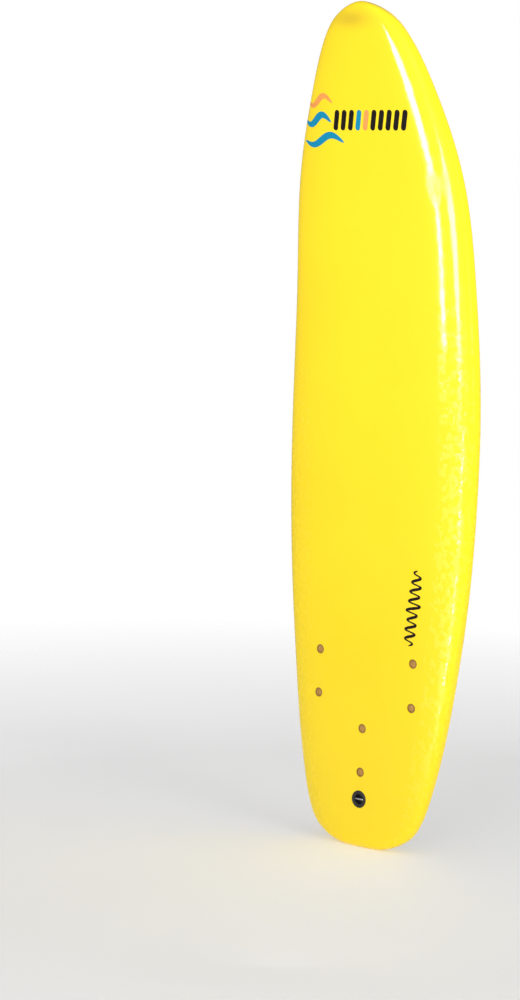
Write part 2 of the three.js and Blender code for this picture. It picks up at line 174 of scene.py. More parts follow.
BOLTS = {name: axis_of(f"fin_sleeve_{name}") for name in BOLT_NAMES}
PLUG_X, PLUG_Z, PLUG_TOP, PLUG_END = axis_of("leash_plug_cup")


# ---------- mesh helpers ----------

def new_object(name, vertices, faces, smooth=True):
    mesh = bpy.data.meshes.new(name)
    mesh.from_pydata([tuple(v) for v in vertices], [], [tuple(f) for f in faces])
    mesh.update()
    piece = bpy.data.objects.new(name, mesh)
    bpy.context.scene.collection.objects.link(piece)
    face_outwards(mesh)
    if smooth:
        mesh.shade_smooth()
    return piece


def face_outwards(mesh):
    work = bmesh.new()
    work.from_mesh(mesh)
    bmesh.ops.recalc_face_normals(work, faces=work.faces)
    work.to_mesh(mesh)
    work.free()


def apply_modifiers(piece):
    graph = bpy.context.evaluated_depsgraph_get()
    graph.update()
    baked = bpy.data.meshes.new_from_object(piece.evaluated_get(graph))
    piece.modifiers.clear()
    piece.data = baked


def sharpen(piece, degrees=35):
    piece.data.shade_smooth()
    piece.data.set_sharp_from_angle(angle=math.radians(degrees))


def cut(piece, tools, operation="DIFFERENCE"):
    """Cuts or joins each tool with an exact boolean and removes it."""
    for tool in tools:
        step = piece.modifiers.new("cut", "BOOLEAN")
        step.object = tool
        step.operation = operation
        step.solver = "EXACT"
    apply_modifiers(piece)
    for tool in tools:
        bpy.data.objects.remove(tool)


def turned(name, profile, x, z, segments=48):
    """Profile points (radius, y) revolved about a line along Y through (x, z); closes on itself."""
    rows = []
    for radius, y in profile:
        angles = [2 * math.pi * k / segments for k in range(segments)]
        rows.append([(x + radius * math.cos(a), y, z + radius * math.sin(a)) for a in angles])
    vertices, faces = [], []
    starts = []
    for (radius, y), row in zip(profile, rows):
        starts.append(len(vertices))
        vertices.extend([(x, y, z)] if radius == 0 else row)
    count = len(profile)
    for k in range(count):
        a, b = starts[k], starts[(k + 1) % count]
        pole_a, pole_b = profile[k][0] == 0, profile[(k + 1) % count][0] == 0
        for i in range(segments):
            j = (i + 1) % segments
            if pole_a and pole_b:
                continue
            if pole_a:
                faces.append((a, b + j, b + i))
            elif pole_b:
                faces.append((a + i, a + j, b))
            else:
                faces.append((a + i, a + j, b + j, b + i))
    return new_object(name, vertices, faces)


def bevelled(piece, width, segments=3, degrees=40):
    step = piece.modifiers.new("bevel", "BEVEL")
    step.width = width
    step.segments = segments
    step.limit_method = "ANGLE"
    step.angle_limit = math.radians(degrees)
    step.harden_normals = False
    apply_modifiers(piece)
    sharpen(piece)


def box_tool(name, centre, size):
    half = Vector(size) / 2
    corners = [(sx * half.x + centre[0], sy * half.y + centre[1], sz * half.z + centre[2])
               for sx in (-1, 1) for sy in (-1, 1) for sz in (-1, 1)]
    faces = [(0, 1, 3, 2), (4, 6, 7, 5), (0, 4, 5, 1), (2, 3, 7, 6), (0, 2, 6, 4), (1, 5, 7, 3)]
    return new_object(name, corners, faces, smooth=False)


# ---------- materials ----------

class Shader:
    """A Principled material with a few helpers for procedural detail."""

    def __init__(self, name, roughness, specular=0.5, metallic=0.0, coat=0.0, coat_roughness=0.05):
        self.material = bpy.data.materials.new(name)
        self.material.use_nodes = True
        self.tree = self.material.node_tree
        self.surface = self.tree.nodes["Principled BSDF"]
        self.surface.inputs["Roughness"].default_value = roughness
        self.surface.inputs["Specular IOR Level"].default_value = specular
        self.surface.inputs["Metallic"].default_value = metallic
        self.surface.inputs["Coat Weight"].default_value = coat
        self.surface.inputs["Coat Roughness"].default_value = coat_roughness
        self.place = self.tree.nodes.new("ShaderNodeTexCoord").outputs["Object"]
        self.bump = None

    def node(self, kind, **inputs):
        made = self.tree.nodes.new(kind)
        for key, value in inputs.items():
            self.feed(made.inputs[key.replace("_", " ")], value)
        return made

    def feed(self, socket, value):
        if isinstance(value, bpy.types.NodeSocket):
            self.tree.links.new(value, socket)
        else:
            socket.default_value = value

    def stretched(self, scale):
        mapping = self.node("ShaderNodeMapping", Vector=self.place, Scale=scale)
        return mapping.outputs["Vector"]

    def noise(self, scale, detail=3.0, roughness=0.5, vector=None):
        made = self.node("ShaderNodeTexNoise", Vector=vector or self.place, Scale=scale,
                         Detail=detail, Roughness=roughness)
        return made.outputs["Fac"]

    def ramp(self, value, stops):
        made = self.node("ShaderNodeValToRGB", Fac=value)
        elements = made.color_ramp.elements
        while len(elements) < len(stops):
            elements.new(0.5)
        for element, (place, colour) in zip(elements, stops):
            element.position = place
            element.color = (*colour, 1) if hasattr(colour, "__len__") else (colour, colour, colour, 1)
        return made.outputs["Color"]

    def colour(self, value):
        self.feed(self.surface.inputs["Base Color"], value)

    def between(self, value, low, high):
        """The value, which runs from 0 to 1, carried to the range from low to high."""
        made = self.node("ShaderNodeMapRange", Value=value)
        made.inputs["To Min"].default_value = low
        made.inputs["To Max"].default_value = high
        return made.outputs["Result"]

    def rough(self, value, low, high):
        self.feed(self.surface.inputs["Roughness"], self.between(value, low, high))

    def add_bump(self, height, strength, distance, coat=False):
        made = self.node("ShaderNodeBump", Height=height, Strength=strength, Distance=distance)
        if self.bump is not None:
            self.feed(made.inputs["Normal"], self.bump)
        self.bump = made.outputs["Normal"]
        self.feed(self.surface.inputs["Normal"], self.bump)
        if coat:
            self.feed(self.surface.inputs["Coat Normal"], self.bump)

    def mask(self, name):
        made = self.node("ShaderNodeAttribute")
        made.attribute_name = name
        return made.outputs["Fac"]

    def combine(self, operation, a, b):
        made = self.node("ShaderNodeMath")
        made.operation = operation
        self.feed(made.inputs[0], a)
        self.feed(made.inputs[1], b)
        return made.outputs[0]


FILM_SHINY, FILM_DULL = 0.06, 0.5      # coat roughness of taut film, and of film that has lifted
CREASE_SCALE = 85.0
CREASE_LIMITS = [(0.44, 0.0), (0.60, 1.0)]
CRUMPLE_SCALE = 300.0
CRUMPLE_LEVEL = 0.17                   # height taken off the crumple's cells, so that they don't form a dome
CRUMPLE_LIFT = 0.25                    # share of the crease pattern that the crumpled patch takes
PEEL_SCALE = 900.0


def orange_peel(shader):
    shader.add_bump(shader.noise(PEEL_SCALE, detail=2.0), 0.05, 0.05 * MM, coat=True)


def film_finish(shader):
    """Clear film over soft foam: slow waves, fine orange peel, and wrinkles where the film turns a rail."""
    slow = shader.noise(9.0, detail=1.0)
    shader.add_bump(slow, 0.15, 0.6 * MM, coat=True)
    creases = shader.noise(CREASE_SCALE, detail=1.5, roughness=0.6, vector=shader.stretched((1.0, 1.0, 0.7)))
    patch = shader.combine("MULTIPLY", shader.mask("crumpled"), CRUMPLE_LIFT)
    rumpled = shader.combine("MAXIMUM", shader.mask("wrinkled"), patch)
    lifted = shader.combine("MULTIPLY", shader.ramp(creases, CREASE_LIMITS), rumpled)
    shader.add_bump(lifted, 0.45, 0.5 * MM, coat=True)
    shader.feed(shader.surface.inputs["Coat Roughness"], shader.between(lifted, FILM_SHINY, FILM_DULL))
    cells = shader.node("ShaderNodeTexVoronoi", Vector=shader.place, Scale=CRUMPLE_SCALE)
    cells.feature = "DISTANCE_TO_EDGE"
    level = shader.combine("SUBTRACT", cells.outputs["Distance"], CRUMPLE_LEVEL)
    crumple = shader.combine("MULTIPLY", level, shader.mask("crumpled"))
    shader.add_bump(crumple, 0.17, 1.6 * MM, coat=True)
    orange_peel(shader)


# Colour of the painted shade near the nose tip, mixed into the film's own colour.
NOSE_SHADE_COLOUR = (0.50, 0.31, 0.012)


def yellow_film():
    shader = Shader("yellow_film", roughness=0.5, specular=0.08, coat=0.8)
    tone = shader.noise(3.5, detail=4.0)
    base_tone = shader.ramp(tone, [(0.3, (0.93, 0.675, 0.003)), (0.7, (0.96, 0.710, 0.005))])
    # Mixes a patch of painted shade near the nose tip into the film's colour.
    shaded_film = shader.node("ShaderNodeMix")
    shaded_film.data_type = "RGBA"
    shader.feed(shaded_film.inputs[0], shader.mask("nose_shade"))
    shader.feed(shaded_film.inputs[6], base_tone)
    shaded_film.inputs[7].default_value = (*NOSE_SHADE_COLOUR, 1)
    shader.colour(shaded_film.outputs[2])
    film_finish(shader)
    return shader.material


def printed(name, colour):
    """Ink under the same film. Its colour varies a little, as print on foam does."""
    shader = Shader(name, roughness=0.5, specular=0.05, coat=0.2)
    grain = shader.noise(160.0, detail=3.0)
    light = tuple(min(c * 1.12 + 0.002, 1) for c in colour)
    shader.colour(shader.ramp(grain, [(0.35, colour), (0.75, light)]))
    orange_peel(shader)
    return shader.material


def slick_sheet():
    shader = Shader("slick_sheet", roughness=0.3, specular=0.5, coat=0.25, coat_roughness=0.12)
    cloud = shader.noise(14.0, detail=5.0)
    shader.colour(shader.ramp(cloud, [(0.3, (0.80, 0.80, 0.78)), (0.7, (0.87, 0.87, 0.85))]))
    shader.rough(shader.noise(30.0, detail=4.0), 0.24, 0.38)
    scuffs = shader.noise(45.0, detail=6.0, roughness=0.7, vector=shader.stretched((1.0, 1.0, 0.06)))
    shader.add_bump(scuffs, 0.12, 0.15 * MM)
    shader.add_bump(shader.noise(8.0, detail=1.0), 0.2, 0.6 * MM)
    return shader.material


def moulded(name, dark, light, roughness, grain=600.0, depth=0.08):
    shader = Shader(name, roughness=roughness, specular=0.45)
    cloud = shader.noise(60.0, detail=4.0)
    shader.colour(shader.ramp(cloud, [(0.35, dark), (0.7, light)]))
    shader.rough(shader.noise(110.0, detail=3.0), roughness - 0.07, roughness + 0.08)
    shader.add_bump(shader.noise(grain, detail=3.0), 0.25, depth * MM)
    return shader.material


def metal(name, dark, light, roughness, lines):
    shader = Shader(name, roughness=roughness, metallic=1.0)
    streaks = shader.noise(300.0, detail=3.0, vector=shader.stretched(lines))
    shader.colour(shader.ramp(streaks, [(0.3, dark), (0.7, light)]))
    shader.rough(streaks, roughness - 0.08, roughness + 0.1)
    shader.add_bump(streaks, 0.1, 0.03 * MM)
    return shader.material


def bead_foam():
    shader = Shader("bead_foam", roughness=0.85, specular=0.3)
    beads = shader.node("ShaderNodeTexVoronoi", Vector=shader.place, Scale=280.0).outputs["Distance"]
    shader.colour(shader.ramp(beads, [(0.1, (0.90, 0.90, 0.88)), (0.7, (0.78, 0.78, 0.76))]))
    shader.add_bump(beads, 0.4, 0.5 * MM)
    return shader.material


def sawn_wood():
    shader = Shader("sawn_wood", roughness=0.65, specular=0.3)
    grain = shader.noise(26.0, detail=6.0, roughness=0.65, vector=shader.stretched((6.0, 1.0, 0.08)))
    shader.colour(shader.ramp(grain, [(0.3, (0.33, 0.19, 0.09)), (0.7, (0.58, 0.38, 0.20))]))
    shader.add_bump(grain, 0.25, 0.2 * MM)
    return shader.material


# ---------- skin and slick bottom ----------

def slick_half_width(z):
    """Half-width of the slick bottom: inside the outline by the margin, with rounded corners."""
    reach = np.minimum(z - SLICK_FROM, SLICK_TO - z) / SLICK_CORNER
    corner = (1 - (1 - np.clip(reach, 0, 1)) ** 2.5) ** (1 / 2.5)
    return np.maximum((half_width(z) - SLICK_MARGIN) * np.maximum(corner, SLICK_END_SHARE), 1 * MM)


slick_low, slick_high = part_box("slick_bottom")
SLICK_FROM, SLICK_TO = slick_low.z, slick_high.z
SLICK_END_SHARE = 0.35
END_RINGS = 18         # section rings where each end rounds over
MIDDLE_RINGS = 300     # and along the board between them


def board_stations():
    """Heights of the section rings: close together where the ends round over, even between."""
    tail_start = math.acos(1 - TAIL_FLAT / TAIL_EDGE_RADIUS)
    tail = [TAIL_EDGE_RADIUS * (1 - math.cos(a)) - TAIL_FLAT
            for a in np.linspace(tail_start, math.pi / 2, END_RINGS)]
    nose_start = math.acos(1 - NOSE_FLAT / NOSE_EDGE_RADIUS)
    nose = [LENGTH - NOSE_EDGE_RADIUS * (1 - math.cos(a))
            for a in np.linspace(math.pi / 2, nose_start, END_RINGS)]
    between = np.linspace(tail[-1], nose[0], MIDDLE_RINGS)[1:-1]
    heights = np.array(tail + list(between) + nose)
    for z in (SLICK_FROM, SLICK_TO):
        heights[np.argmin(np.abs(heights - z))] = z
    return heights


STEEP_WEIGHT = 0.8     # makes the steps closer where the section turns down a rail


def even_angles(start, end, half, depth, power, count):
    """Angles that divide one quarter-like stretch of the section into steps of nearly equal length."""
    dense = np.linspace(start, end, 4001)
    x = half * np.abs(np.cos(np.radians(dense))) ** power
    y = depth * np.abs(np.sin(np.radians(dense))) ** power
    steps = np.hypot(np.diff(x), np.diff(y)) + STEEP_WEIGHT * np.abs(np.diff(y))
    walked = np.concatenate([[0], np.cumsum(steps)])
    return np.interp(np.linspace(0, walked[-1], count), walked, dense)


DECK_STEPS = 46        # grid steps from a rail to the centre of the deck
EDGE_STEPS = 26        # from a rail to the edge of the slick bottom
SLICK_STEPS = 28       # across half of the slick bottom
DECK_ANGLES = even_angles(0, 90, HALF_BREADTH, DECK_SHARE * THICKNESS, 2 / DECK_ROUNDNESS, DECK_STEPS + 1)


def ring_angles(z):
    """Angles round the section at height z, starting at the right-hand edge of the slick bottom."""
    edge = slick_half_width(z) / max(float(half_width(z)), 1e-6)
    turn = math.degrees(math.acos(min(float(edge), 1.0) ** (BOTTOM_ROUNDNESS / 2)))
    low = (1 - DECK_SHARE) * THICKNESS
    edge_part = even_angles(0, turn, HALF_BREADTH, low, 2 / BOTTOM_ROUNDNESS, EDGE_STEPS + 1)
    slick_part = even_angles(turn, 90, HALF_BREADTH, low, 2 / BOTTOM_ROUNDNESS, SLICK_STEPS + 1)
    right = np.concatenate([-edge_part[::-1], DECK_ANGLES[1:]])
    left = 180 - right[::-1]
    below_left = 180 + slick_part[1:]
    below_right = 360 - slick_part[::-1][1:-1]
    return np.concatenate([right, left[1:], below_left, below_right])


DIMPLE_RADIUS = 17 * MM
DIMPLE_DEPTH = 0.7 * MM


def dimple(points):
    """How far the soft deck is pressed in round each bolt collar and the leash plug."""
    depth = np.zeros(len(points))
    spots = [(x, z, DIMPLE_RADIUS) for x, z, _, _ in BOLTS.values()]
    spots.append((PLUG_X, PLUG_Z, 1.7 * DIMPLE_RADIUS))
    for x, z, radius in spots:
        away = np.hypot(points[:, 0] - x, points[:, 2] - z) / radius
        depth += DIMPLE_DEPTH * np.exp(-(away**2))
    return depth


def board_grid():
    """Vertices of the whole outer surface, ring by ring, and the number of vertices in a ring."""
    rings = [section_point(z, ring_angles(z)) for z in board_stations()]
    size = len(rings[0])
    points = np.concatenate(rings)
    on_deck = points[:, 1] < rail_y(points[:, 2])
    points[:, 1] += np.where(on_deck, dimple(points), 0)
    return points, size


def shell_piece(name, points, faces, thickness_in):
    """A sheet of the outer surface, thickened inwards."""
    used = sorted(set(i for face in faces for i in face))
    renumber = {old: new for new, old in enumerate(used)}
    mesh = bpy.data.meshes.new(name)
    mesh.from_pydata([tuple(points[i]) for i in used], [], [tuple(renumber[i] for i in f) for f in faces])
    piece = bpy.data.objects.new(name, mesh)
    bpy.context.scene.collection.objects.link(piece)
    step = piece.modifiers.new("thickness", "SOLIDIFY")
    step.thickness = thickness_in
    step.offset = -1
    apply_modifiers(piece)
    return piece


def board_faces(size, rings):
    """Quads of the grid, split into those of the skin and those of the slick bottom, and both end caps."""
    heights = board_stations()
    skin, slick = [], []
    first_slick = 2 * (EDGE_STEPS + DECK_STEPS)
    for k in range(rings - 1):
        between = SLICK_FROM - 1e-9 <= heights[k] and heights[k + 1] <= SLICK_TO + 1e-9
        for i in range(size):
            j = (i + 1) % size
            quad = (k * size + i, (k + 1) * size + i, (k + 1) * size + j, k * size + j)
            (slick if between and i >= first_slick else skin).append(quad)
    tail_cap = tuple(range(size))
    nose_cap = tuple((rings - 1) * size + i for i in reversed(range(size)))
    return skin + [tail_cap, nose_cap], slick


CRUMPLE_X, CRUMPLE_Z = 172 * MM, 1.448
CRUMPLE_REACH = 31 * MM
# Place, reach and strength of the painted shade near the nose tip.
NOSE_SHADE_X, NOSE_SHADE_Z = -22 * MM, 1.792
NOSE_SHADE_REACH_X, NOSE_SHADE_REACH_Z = 48 * MM, 17 * MM
NOSE_SHADE_STRENGTH = 0.55


def add_film_masks(piece):
    """Vertex values for the film: wrinkled along both rails, crumpled in one patch, and painted shade in a
    patch near the nose tip.
    """
    co = np.array([v.co for v in piece.data.vertices])
    half = np.maximum(half_width(co[:, 2]), 1 * MM)
    across = np.clip((np.abs(co[:, 0]) / half - 0.62) / 0.15, 0, 1)
    towards_tail = 0.12 + 0.88 * np.clip((1.25 - co[:, 2]) / 0.5, 0, 1)
    on_deck = co[:, 1] < rail_y(co[:, 2])
    x, z = co[:, 0], co[:, 2]
    crumple = np.hypot(x - CRUMPLE_X, z - CRUMPLE_Z) / CRUMPLE_REACH
    # Distance from the middle of the painted shade near the nose tip, in its reaches.
    nose_shade_spread = np.hypot((x - NOSE_SHADE_X) / NOSE_SHADE_REACH_X, (z - NOSE_SHADE_Z) / NOSE_SHADE_REACH_Z)
    masks = {
        "wrinkled": across * towards_tail,
        "crumpled": np.exp(-(crumple**3)) * on_deck,
        "nose_shade": NOSE_SHADE_STRENGTH * np.exp(-(nose_shade_spread**2)) * on_deck,
    }
    for name, value in masks.items():
        layer = piece.data.attributes.new(name, "FLOAT", "POINT")
        layer.data.foreach_set("value", value.astype(np.float32))


PAST_ALL = 0.3         # far enough along Y, in metres, to be outside every piece


def hole_tools(radius, spots):
    profile = [(0, -PAST_ALL), (radius, -PAST_ALL), (radius, PAST_ALL), (0, PAST_ALL)]
    return [turned(f"hole_{k}", profile, x, z, 64) for k, (x, z) in enumerate(spots)]


SLEEVE_RADIUS = 10 * MM
SLEEVE_TUBE = 7.5 * MM
PLUG_RADIUS = 19 * MM
NUT_RADIUS = 14 * MM
EDGE_BEVEL = 0.6 * MM


def add_board():
    points, size = board_grid()
    skin_faces, slick_faces = board_faces(size, len(points) // size)
    skin = shell_piece("foam_skin", points, skin_faces, SKIN)
    slick = shell_piece("slick_sheet", points, slick_faces, SKIN - 2 * GAP)
    for piece in (skin, slick):
        face_outwards(piece.data)
        bevelled(piece, EDGE_BEVEL, 2, 50)
    bolts = [(x, z) for x, z, _, _ in BOLTS.values()]
    plug = [(PLUG_X, PLUG_Z)]
    cut(skin, hole_tools(SLEEVE_RADIUS + GAP, bolts) + hole_tools(PLUG_RADIUS + GAP, plug))
    cut(slick, hole_tools(SLEEVE_TUBE + GAP, bolts) + hole_tools(NUT_RADIUS + GAP, plug))
    sharpen(skin)
    add_film_masks(skin)
    finish_piece(skin, yellow_film(), "deck_film", *SKIN_NODES)
    sharpen(slick)
    finish_piece(slick, slick_sheet(), "slick_sheet", "slick_bottom")


def finish_piece(piece, material, slot, *nodes):
    piece.data.materials.clear()
    piece.data.materials.append(material)
    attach(piece, "root")
    if nodes:
        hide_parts(*nodes)


# ---------- fins ----------

FIN_SPECS = {
    "left": {"base": 108 * MM, "depth": 78 * MM, "cant": 4.0, "toe": 2.5},
    "right": {"base": 108 * MM, "depth": 78 * MM, "cant": -4.0, "toe": -2.5},
    "centre": {"base": 114 * MM, "depth": 106 * MM, "cant": 0.0, "toe": 0.0},
}
FIN_ROOT_THICKNESS = 9 * MM
FIN_TIP_THICKNESS = 3.2 * MM
FIN_POINTS = 36           # points round one side of a fin section
FOOT_HALF_WIDTH = 11 * MM
FOOT_OVERHANG = 7 * MM
# Height above the bottom, and how far the section has spread from blade to foot.
FOOT_STEPS = [(12, 0.0), (8.5, 0.05), (6.2, 0.14), (4.8, 0.28), (3.9, 0.48), (3.3, 0.72), (3.0, 0.90),
              (2.6, 0.97), (1.8, 1.0), (0.6, 1.0), (-0.8, 1.0)]
FOOT_TOP = FOOT_STEPS[0][0] * MM
FIN_RINGS = 34            # rings from the top of the foot to the tip
POST_RADIUS = 5 * MM
POST_BORE = 3.9 * MM
POST_BORE_DEPTH = 16 * MM
POST_LENGTH = 30 * MM
POST_ROOT = 1 * MM


def blade_section(base, depth, s, points):
    """(x, z) points of the foil at a share s of the depth, z measured from the middle of the root."""
    lead = 40 * MM * s + (base - 32 * MM) * s**1.7
    chord = base * (1 - s) ** 0.75 * (1 - 0.1 * s) + 14 * MM * s
    thick = FIN_ROOT_THICKNESS + (FIN_TIP_THICKNESS - FIN_ROOT_THICKNESS) * s
    along = (1 - np.cos(np.linspace(0, math.pi, points))) / 2
    swell = np.sin(math.pi * along**0.75) ** 0.8
    x = 0.4 * MM * np.sqrt(np.clip(4 * along * (1 - along), 0, 1)) + (thick / 2 - 0.4 * MM) * swell
    return x, base / 2 - lead - chord * along, along


def fin_rings(base, depth):
    """Rings from the foot inside the board's surface up to the rounded tip, as (x, height, z)."""
    rings = []
    for height_mm, spread in reversed(FOOT_STEPS):
        x, z, along = blade_section(base, depth, max(height_mm, 0) * MM / depth, FIN_POINTS)
        foot_half = base / 2 + FOOT_OVERHANG
        foot_z = foot_half * (1 - 2 * along)
        foot_x = FOOT_HALF_WIDTH * np.sqrt(np.clip(1 - (1 - 2 * along) ** 2, 0, 1))
        rings.append(((1 - spread) * x + spread * foot_x, height_mm * MM, (1 - spread) * z + spread * foot_z))
    for s in np.linspace(FOOT_TOP / depth, 1, FIN_RINGS)[1:]:
        x, z, _ = blade_section(base, depth, s, FIN_POINTS)
        rings.append((x, depth * s, z))
    x, y, z = rings[-1]
    for shrink, rise in ((0.8, 0.5 * MM), (0.45, 0.9 * MM)):
        rings.append((x * shrink, y + rise, z.mean() + (z - z.mean()) * (0.9 + 0.1 * shrink)))
    return rings


def fin_post(bolt):
    """Hollow post that reaches up from the fin's foot into the board."""
    x, z, _, _ = BOLTS[bolt]
    surface = float(bottom_y(z, x))
    root = surface + POST_ROOT
    top = surface - POST_LENGTH
    profile = [(0, root), (POST_RADIUS, root), (POST_RADIUS, top), (POST_BORE, top),
               (POST_BORE, top + POST_BORE_DEPTH), (0, top + POST_BORE_DEPTH)]
    return turned("post", profile, x, z, 40)


def add_fin(side, material):
    spec = FIN_SPECS[side]
    rear_x, rear_z, _, _ = BOLTS[f"{side}_rear"]
    _, front_z, _, _ = BOLTS[f"{side}_front"]
    rear_y, front_y = float(bottom_y(rear_z, rear_x)), float(bottom_y(front_z, rear_x))
    middle = Vector((rear_x, (rear_y + front_y) / 2, (rear_z + front_z) / 2))
    slope = (front_y - rear_y) / (front_z - rear_z)
    tilt = Matrix.Rotation(-math.atan(slope), 4, "X")
    toe = Matrix.Rotation(math.radians(spec["toe"]), 4, "Y")
    vertices, faces = [], []
    for x, height, z in fin_rings(spec["base"], spec["depth"]):
        above_foot = min(max(height / FOOT_TOP, 0), 1)
        lean = Matrix.Rotation(math.radians(spec["cant"]) * above_foot, 4, "Z")
        xs = np.concatenate([x, -x[::-1][1:-1]])
        zs = np.concatenate([z, z[::-1][1:-1]])
        for px, pz in zip(xs, zs):
            spot = middle + tilt @ (lean @ (toe @ Vector((px, height, pz))))
            flat = middle.y + slope * (spot.z - middle.z)
            spot.y += (1 - above_foot) * (float(bottom_y(spot.z, spot.x)) - flat)
            vertices.append(spot)
    size = 2 * FIN_POINTS - 2
    count = len(vertices) // size
    for k in range(count - 1):
        for i in range(size):
            j = (i + 1) % size
            faces.append((k * size + i, k * size + j, (k + 1) * size + j, (k + 1) * size + i))
    faces.append(tuple(range(size)))
    faces.append(tuple((count - 1) * size + i for i in range(size)))
    piece = new_object(f"fin_blade_{side}", vertices, faces)
    cut(piece, [fin_post(f"{side}_{end}") for end in ("rear", "front")], "UNION")
    sharpen(piece, 50)
    finish_piece(piece, material, "fin_plastic", f"fin_{side}")


# ---------- bolts and leash plug ----------

THREAD_LENGTH = 16 * MM
THREAD_PITCH = 1.25 * MM
THREAD_TURNS = 12
THREAD_RADIUS = 2.5 * MM
THREAD_ROOT = 2.05 * MM
SCREW_SLOT = (2.2 * MM, 2.2 * MM, 30 * MM)
SPANNER_HOLE_RADIUS = 1.6 * MM
SPANNER_HOLE_REACH = 9.5 * MM


def add_bolt(name, sleeve_material, screw_material):
    x, z, top, end = BOLTS[name]
    sleeve = turned(f"sleeve_{name}", [
        (7.2 * MM, top), (9.2 * MM, top), (9.75 * MM, top + 0.2 * MM), (10 * MM, top + 0.8 * MM),
        (10 * MM, top + 3.6 * MM), (7.5 * MM, top + 3.6 * MM), (7.5 * MM, end), (5.3 * MM, end),
        (5.3 * MM, top + 2.2 * MM), (7.2 * MM, top + 2.2 * MM),
    ], x, z)
    sharpen(sleeve)
    finish_piece(sleeve, sleeve_material, "sleeve_plastic", f"fin_sleeve_{name}")
    add_screw(name, x, z, screw_material)


def add_screw(name, x, z, material):
    low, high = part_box(f"fin_screw_{name}")
    head, tip = low.y, high.y
    profile = [(0, head), (5.9 * MM, head), (6.55 * MM, head + 0.2 * MM), (6.9 * MM, head + 0.7 * MM),
               (6.9 * MM, head + 1.9 * MM), (2.1 * MM, head + 1.9 * MM)]
    thread_from = tip - THREAD_LENGTH
    profile += [(THREAD_RADIUS, thread_from)]
    for k in range(THREAD_TURNS):
        y = thread_from + THREAD_PITCH * (k + 0.5)
        profile += [(THREAD_ROOT, y), (THREAD_RADIUS, y + THREAD_PITCH / 2)]
    profile += [(1.6 * MM, tip), (0, tip)]
    screw = turned(f"screw_{name}", profile, x, z)
    slot = box_tool("slot", (x, head, z), SCREW_SLOT)
    cut(screw, [slot])
    sharpen(screw)
    finish_piece(screw, material, "screw_nylon", f"fin_screw_{name}")


def add_leash_plug(plastic, steel):
    top, end = PLUG_TOP, PLUG_END
    cup = turned("plug_cup", [
        (0, top + 12.4 * MM), (10.2 * MM, top + 12.4 * MM), (11 * MM, top + 11.6 * MM),
        (11 * MM, top + 0.9 * MM), (11.3 * MM, top + 0.3 * MM), (12 * MM, top), (15.6 * MM, top),
        (16.0 * MM, top + 0.35 * MM), (16.4 * MM, top + 0.35 * MM), (16.8 * MM, top),
        (18.0 * MM, top + 0.1 * MM), (18.7 * MM, top + 0.5 * MM), (19 * MM, top + 1.3 * MM),
        (19 * MM, top + 4.6 * MM), (14 * MM, top + 4.6 * MM),
        (14 * MM, top + 15 * MM), (5 * MM, top + 15 * MM), (5 * MM, end), (0, end),
    ], PLUG_X, PLUG_Z, 72)
    pin_low, pin_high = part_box("leash_plug_pin")
    pin_y, pin_z = (pin_low.y + pin_high.y) / 2, (pin_low.z + pin_high.z) / 2
    pin_radius = (pin_high.z - pin_low.z) / 2
    seat = rod_along_x("seat", pin_low.x - GAP, pin_high.x + GAP, pin_radius + GAP, pin_y, pin_z)
    cut(cup, [seat])
    sharpen(cup)
    finish_piece(cup, plastic, "plug_plastic", "leash_plug_cup")
    pin = rod_along_x("plug_pin", pin_low.x, pin_high.x, pin_radius, pin_y, pin_z)
    bevelled(pin, 0.3 * MM)
    finish_piece(pin, steel, "pin_steel", "leash_plug_pin")


def add_plug_nut(plastic):
    """Round nut under the slick bottom, with two holes for a spanner."""
    low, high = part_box("leash_plug_nut")
    nut = turned("plug_nut", [
        (5.3 * MM, low.y), (NUT_RADIUS, low.y), (NUT_RADIUS, high.y - 1.0 * MM),
        (13.7 * MM, high.y - 0.3 * MM), (13.0 * MM, high.y), (7.2 * MM, high.y),
        (6.6 * MM, high.y - 0.5 * MM), (5.3 * MM, high.y - 0.5 * MM),
    ], PLUG_X, PLUG_Z, 72)
    depth = low.y + 2 * MM
    profile = [(0, depth), (SPANNER_HOLE_RADIUS, depth), (SPANNER_HOLE_RADIUS, PAST_ALL), (0, PAST_ALL)]
    holes = [turned("spanner_hole", profile, PLUG_X + side * SPANNER_HOLE_REACH, PLUG_Z, 32)
             for side in (-1, 1)]
    cut(nut, holes)
    sharpen(nut)
    finish_piece(nut, plastic, "plug_plastic", "leash_plug_nut")


def rod_along_x(name, from_x, to_x, radius, y, z, segments=40):
    angles = [2 * math.pi * k / segments for k in range(segments)]
    vertices = [(x, y + radius * math.cos(a), z + radius * math.sin(a))
                for x in (from_x, to_x) for a in angles]
    faces = [(i, (i + 1) % segments, segments + (i + 1) % segments, segments + i) for i in range(segments)]
    faces += [tuple(range(segments)), tuple(segments + i for i in range(segments))]
    return new_object(name, vertices, faces)


# ---------- printed graphics ----------

PRINT_PROUD = 0.12 * MM
PRINT_SUNK = 0.3 * MM
THINNEST_PRINT = 0.2 * MM


